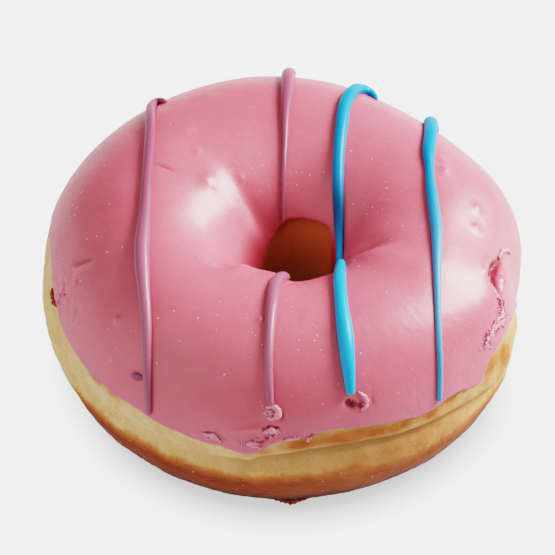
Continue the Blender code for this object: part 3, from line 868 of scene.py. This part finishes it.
def coat_rolls(bearing):
    """The rolls between which the coat has specks."""
    return coat_edge(bearing) + SPECK_ABOVE_EDGE, COAT_SPECK_HIGHEST


def crust_rolls(bearing):
    """The rolls between which the bare dough has specks."""
    return CRUST_SPECK_LOWEST, coat_edge(bearing) - SPECK_BELOW_EDGE


def make_specks(name, count, rolls, seed, tree, material):
    """Fine specks over the coat or the crust, half sunk in it."""
    chance = np.random.default_rng(seed)
    parts = []
    while len(parts) < count:
        bearing = chance.uniform(0, 360)
        roll = chance.uniform(*rolls(bearing))
        centre, normal = on_coat(bearing, roll, tree)
        if chance.random() > SPECK_SHARE + SPECK_CLUSTERING * float(lumps(centre, SPECK_CLUSTER_SIZE, 12)):
            continue
        low, high = SPECK_RADII
        size = low + (high - low) * chance.random() ** 3
        along = np.cross(normal, chance.normal(size=3))
        along *= size * SPECK_LENGTH_SHARE / np.linalg.norm(along)
        middle = np.array([centre - along, centre, centre + along])
        normals, width = np.repeat(normal[None], 3, axis=0), np.full(3, 2 * size)
        parts.append(tube(middle, normals, width, SPECK_HEIGHT_SHARE, SPECK_SIDES))
    made = add_piece(name, *joined(parts), material)
    face_outwards(made)
    return made


def add_node(tree, kind, inputs=None, **settings):
    """A node with its settings and inputs; an input that is a socket is linked."""
    made = tree.nodes.new(kind)
    for name, value in settings.items():
        setattr(made, name, value)
    for name, value in (inputs or {}).items():
        if isinstance(value, bpy.types.NodeSocket):
            tree.links.new(value, made.inputs[name])
        else:
            made.inputs[name].default_value = value
    return made


def screen(red, green, blue):
    """A linear colour from 8-bit screen values."""
    parts = [v / 255 for v in (red, green, blue)]
    return (*(((v + 0.055) / 1.055) ** 2.4 if v > 0.04 else v / 12.92 for v in parts), 1)


# The icing's colours.
PINK = screen(211, 110, 123)
PINK_PALE = screen(215, 116, 129)
# The colour of the painted shade in the coat's hollows and in the hole.
PINK_SHADE = screen(148, 50, 64)
PINK_RIM = screen(196, 122, 150)
PINK_FLAKE = screen(222, 146, 162)
DARK_RED = screen(150, 42, 56)
# The pale colour of the coat's specks: a painted highlight on tiny bumps.
GLINT_PINK = screen(234, 184, 194)
# Stripe colours at the back and, painted lighter as painted light, at the front.
MAUVE_BACK = screen(156, 88, 110)
MAUVE_FRONT = screen(170, 106, 126)
BLUE_BACK = screen(34, 146, 202)
BLUE_FRONT = screen(48, 170, 226)
BLUE_SHADED = screen(10, 92, 132)
PALE_BLUE_BACK = screen(30, 144, 202)
PALE_BLUE_FRONT = screen(92, 156, 206)
# The dough's colours.
CREAM = screen(228, 196, 152)
CREAM_CRUMB = screen(232, 192, 150)
STRAW = screen(220, 180, 126)
# The colour of the painted shade on the pale band.
SHADED_BAND_COLOUR = screen(196, 148, 92)
# The colour of the painted shade in the seam's groove.
SEAM_SHADE_COLOUR = screen(188, 148, 104)
GOLD = screen(202, 138, 82)
ORANGE = screen(178, 106, 63)
BROWN = screen(146, 76, 46)
BURNT_BROWN = screen(146, 80, 48)
DARK_BROWN = screen(62, 27, 16)
HOLE_CRUST = screen(200, 134, 88)
# The colour of the painted shade low in the hole.
HOLE_SHADE_COLOUR = screen(44, 12, 8)
# The coat's colour changes: mark, the values where each starts and is full, its share and its colour. The
# relief's hollows and creases and the coat in the hole are darkened as painted shade.
COAT_TINTS = (
    ("relief", -0.05, -0.5, 1.0, PINK_SHADE),
    ("rim", 0.0, 1.0, 0.55, PINK_RIM),
    ("inside", 0.0, 1.0, 0.85, PINK_SHADE),
    ("red", 0.15, 0.75, 0.9, DARK_RED),
)


def texture(tree, size, detail=3.0, roughness=0.55):
    """Noise with features about so many millimetres across, from 0 to 1."""
    place = add_node(tree, "ShaderNodeTexCoord").outputs["Object"]
    inputs = {"Vector": place, "Scale": 1 / (size * MM), "Detail": detail, "Roughness": roughness}
    return add_node(tree, "ShaderNodeTexNoise", inputs).outputs["Fac"]


def mark(tree, name):
    return add_node(tree, "ShaderNodeAttribute", attribute_name=name).outputs["Fac"]


def mixed(tree, share, first, second):
    """One colour mixed with another."""
    inputs = {0: share, 6: first, 7: second}
    return add_node(tree, "ShaderNodeMix", inputs, data_type="RGBA").outputs[2]


def reckon(tree, operation, a, b=0.5, c=0.5, clamp=False):
    inputs = {0: a, 1: b, 2: c}
    return add_node(tree, "ShaderNodeMath", inputs, operation=operation, use_clamp=clamp).outputs[0]


def spread(tree, value, low, high, to_low=0.0, to_high=1.0):
    """A value moved from one range to another, and kept inside it."""
    inputs = {"Value": value, "From Min": low, "From Max": high, "To Min": to_low, "To Max": to_high}
    return add_node(tree, "ShaderNodeMapRange", inputs).outputs["Result"]


def tinted(tree, colour, name, start, full, share, other):
    """A colour changed towards another where a mark is strong."""
    return mixed(tree, spread(tree, mark(tree, name), start, full, 0.0, share), colour, other)


def ramp(tree, value, stops):
    made = add_node(tree, "ShaderNodeValToRGB", {"Fac": value})
    band = made.color_ramp
    while len(band.elements) < len(stops):
        band.elements.new(0.5)
    for element, (place, colour) in zip(band.elements, stops):
        element.position = place
        element.color = colour
    return made.outputs["Color"]


def new_material(name):
    made = bpy.data.materials.new(name)
    made.use_nodes = True
    tree = made.node_tree
    return made, tree, tree.nodes["Principled BSDF"]


def set_inputs(tree, shader, inputs):
    for name, value in inputs.items():
        if isinstance(value, bpy.types.NodeSocket):
            tree.links.new(value, shader.inputs[name])
        else:
            shader.inputs[name].default_value = value


def plain_material(name, colour, roughness, specular=0.5):
    """One even colour."""
    made, tree, shader = new_material(name)
    inputs = {"Base Color": colour, "Roughness": roughness, "Specular IOR Level": specular}
    set_inputs(tree, shader, inputs)
    return made


def stripe_material(name, back, front, roughness, shaded=None):
    """Piped icing, from one colour at the back to a lighter one at the front as painted light, and darker
    where it is shaded, as painted shade.
    """
    made, tree, shader = new_material(name)
    colour = mixed(tree, mark(tree, "front"), back, front)
    if shaded is not None:
        colour = mixed(tree, mark(tree, "shaded"), colour, shaded)
    set_inputs(tree, shader, {"Base Color": colour, "Roughness": roughness, "Specular IOR Level": 0.4})
    return made


def coat_material():
    """Set icing: an even colour with faint clouds, painted shade in its hollows and in the hole, a satin
    gloss and very fine lumps.
    """
    made, tree, shader = new_material("pink_icing")
    clouds = texture(tree, 9.0, 2.0)
    colour = mixed(tree, spread(tree, clouds, 0.35, 0.7), PINK, PINK_PALE)
    for tint in COAT_TINTS:
        colour = tinted(tree, colour, *tint)
    grain = texture(tree, 0.7, 3.0)
    lump = texture(tree, 3.0, 2.0)
    height = reckon(tree, "MULTIPLY_ADD", grain, 0.35, lump)
    bump = add_node(tree, "ShaderNodeBump", {"Strength": 0.3, "Distance": 0.0004, "Height": height})
    set_inputs(tree, shader, {
        "Base Color": colour,
        "Roughness": spread(tree, texture(tree, 1.6, 3.0), 0.3, 0.7, 0.37, 0.49),
        "Normal": bump.outputs["Normal"],
        "Subsurface Weight": 0.25,
        "Subsurface Radius": (1.0, 0.35, 0.35),
        "Subsurface Scale": 0.0012,
        "Specular IOR Level": 0.42,
        "Coat Weight": 0.36,
        "Coat Roughness": 0.24,
    })
    return made


def dough_material():
    """Fried dough: a pale soft band, golden where it turns, brown crust and toasted places, with painted
    shade under the coat's overhang, in the seam, round the bottom edge and low in the hole.
    """
    made, tree, shader = new_material("fried_dough")
    patches, crumb = texture(tree, 4.0, 3.0), texture(tree, 0.8, 4.0, 0.6)
    pale = mixed(tree, spread(tree, patches, 0.35, 0.65), CREAM, STRAW)
    baked = reckon(tree, "MULTIPLY_ADD", reckon(tree, "SUBTRACT", patches, 0.5), 0.35, mark(tree, "crust"))
    baked = reckon(tree, "MULTIPLY_ADD", reckon(tree, "SUBTRACT", crumb, 0.5), 0.18, baked, clamp=True)
    # Painted shade on the pale band under the coat's overhang.
    pale = tinted(tree, pale, "band_shade", 0.0, 1.0, 0.9, SHADED_BAND_COLOUR)
    crust = ramp(tree, baked, ((0.12, STRAW), (0.31, GOLD), (0.50, ORANGE), (0.78, BROWN), (1.0, BROWN)))
    colour = mixed(tree, spread(tree, baked, 0.05, 0.3), pale, crust)
    # Painted shade round the bottom edge.
    colour = tinted(tree, colour, "base_shade", 0.0, 1.0, 0.85, DARK_BROWN)
    colour = mixed(tree, spread(tree, crumb, 0.5, 0.8, 0.0, 0.25), colour, DARK_BROWN)
    toasted = mixed(tree, spread(tree, patches, 0.2, 0.65), GOLD, ORANGE)
    # Toasted places, and painted shade where the broad patches lie low on the side.
    colour = tinted(tree, colour, "toast_and_shade", 0.05, 0.95, 1.0, toasted)
    # Painted shade in the seam's groove.
    colour = tinted(tree, colour, "groove", 0.35, 1.1, 0.75, SEAM_SHADE_COLOUR)
    colour = tinted(tree, colour, "in_hole", 0.0, 1.0, 0.85, HOLE_CRUST)
    # Painted shade low in the hole.
    colour = tinted(tree, colour, "hole_shade", 0.0, 1.0, 0.95, HOLE_SHADE_COLOUR)
    height = reckon(tree, "MULTIPLY_ADD", crumb, 0.7, texture(tree, 2.4, 2.0))
    bump = add_node(tree, "ShaderNodeBump", {"Strength": 0.35, "Distance": 0.0005, "Height": height})
    set_inputs(tree, shader, {
        "Base Color": colour,
        "Roughness": spread(tree, mark(tree, "crust"), 0.0, 1.0, 0.72, 0.5),
        "Normal": bump.outputs["Normal"],
        "Subsurface Weight": 0.12,
        "Subsurface Radius": (1.0, 0.6, 0.3),
        "Subsurface Scale": 0.0015,
        "Specular IOR Level": 0.2,
    })
    return made


def make_floor():
    mesh = bpy.data.meshes.new("floor")
    half = FLOOR_SIZE / 2
    corners = [(-half, -half, 0), (half, -half, 0), (half, half, 0), (-half, half, 0)]
    mesh.from_pydata(corners, [], [(0, 1, 2, 3)])
    made = bpy.data.objects.new("floor", mesh)
    bpy.context.scene.collection.objects.link(made)
    material, tree, shader = new_material("floor_white")
    seen = add_node(tree, "ShaderNodeLightPath").outputs["Is Camera Ray"]
    # Painted contact shadow: the glow the camera sees dims where the doughnut closes the floor in.
    openness = add_node(tree, "ShaderNodeAmbientOcclusion", {"Distance": CONTACT_REACH * MM}).outputs["AO"]
    glow = spread(tree, openness, CONTACT_CLOSED, 1.0, FLOOR_GLOW_CONTACT, FLOOR_GLOW_SEEN)
    strength = add_node(tree, "ShaderNodeMix", {0: seen, 2: FLOOR_GLOW, 3: glow}).outputs[0]
    set_inputs(tree, shader, {
        "Base Color": mixed(tree, seen, screen(188, 188, 188), screen(40, 40, 40)),
        "Roughness": 1.0,
        "Specular IOR Level": 0.0,
        "Emission Color": (1, 1, 1, 1),
        "Emission Strength": strength,
    })
    mesh.materials.append(material)


def make_light(name, direction, size, watts):
    """A rectangular soft light that faces the doughnut."""
    data = bpy.data.lights.new(name, "AREA")
    data.shape = "RECTANGLE"
    data.size, data.size_y = size
    data.energy = watts
    made = bpy.data.objects.new(name, data)
    bpy.context.scene.collection.objects.link(made)
    towards = Vector(direction).normalized()
    made.location = towards * LIGHT_DISTANCE
    made.rotation_euler = towards.to_track_quat("Z", "Y").to_euler()


def make_world():
    world = bpy.data.worlds.new("studio")
    bpy.context.scene.world = world
    world.use_nodes = True
    tree = world.node_tree
    back = tree.nodes["Background"]
    direction = add_node(tree, "ShaderNodeTexCoord").outputs["Generated"]
    strength = SKY_STRENGTH
    for middle, start, end, dimmed in DIM_SKY:
        inputs = {0: direction, 1: Vector(middle).normalized()}
        towards = add_node(tree, "ShaderNodeVectorMath", inputs, operation="DOT_PRODUCT").outputs["Value"]
        strength = reckon(tree, "MULTIPLY", strength, spread(tree, towards, start, end, 1.0, dimmed))
    set_inputs(tree, back, {"Color": (1, 1, 1, 1), "Strength": strength})


def make_camera():
    data = bpy.data.cameras.new("camera")
    data.lens = CAMERA_LENS
    data.sensor_width = SENSOR
    data.clip_start = 0.01
    made = bpy.data.objects.new("camera", data)
    bpy.context.scene.collection.objects.link(made)
    tilt = math.radians(CAMERA_ELEVATION)
    back = Vector((0, -math.cos(tilt), math.sin(tilt)))
    made.location = (Vector(CAMERA_AIM) + back * CAMERA_DISTANCE) * MM
    made.rotation_euler = (math.pi / 2 - tilt, 0, 0)
    bpy.context.scene.camera = made


def main():
    dough = make_dough(dough_material())
    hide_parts("dough")

    mauve = stripe_material("mauve_icing", MAUVE_BACK, MAUVE_FRONT, 0.34)
    blue = stripe_material("blue_icing", BLUE_BACK, BLUE_FRONT, 0.42, BLUE_SHADED)
    pale_blue = stripe_material("pale_blue_icing", PALE_BLUE_BACK, PALE_BLUE_FRONT, 0.42)
    pale_pink = plain_material("pale_pink_icing", PINK_FLAKE, 0.36)
    burnt = plain_material("burnt_crumb", BURNT_BROWN, 0.6, 0.2)
    speck_glint = plain_material("speck_glint", GLINT_PINK, 0.5)
    cream = plain_material("cream_crumb", CREAM_CRUMB, 0.6)

    coat = make_coat(coat_material())
    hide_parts("frosting")
    tree = surface_tree(coat)
    mauves = (LEFT_MAUVE, BACK_MAUVE, FRONT_MAUVE)
    make_stripes("mauve_stripes", mauves, tree, mauve)
    make_stripes("hole_blue_stripe", (HOLE_BLUE,), tree, blue)
    make_stripes("right_blue_stripe", (RIGHT_BLUE,), tree, pale_blue)
    drop = make_marks("mauve_drop", [MAUVE_DROP], tree, mauve, DROP_HEIGHT_SHARE)
    make_flakes(tree, pale_pink)
    # Tiny bumps on the coat, painted pale as painted highlights.
    make_specks("glinting_specks", SPECKS, coat_rolls, SEED + 1, tree, speck_glint)
    crust_tree = surface_tree(dough)
    burnt_spots = make_marks("burnt_spots", BURNT, crust_tree, burnt, BURNT_HEIGHT_SHARE, BURNT_RAGGED)
    crust_specks = make_specks("crust_specks", CRUST_SPECKS, crust_rolls, SEED + 2, crust_tree, cream)

    make_floor()
    make_world()
    make_light("key", KEY_DIRECTION, KEY_SIZE, KEY_WATTS)
    make_light("fill", FILL_DIRECTION, FILL_SIZE, FILL_WATTS)
    make_camera()
    bpy.context.scene.view_settings.view_transform = "Filmic"
    bpy.context.scene.view_settings.look = "Very High Contrast"


main()
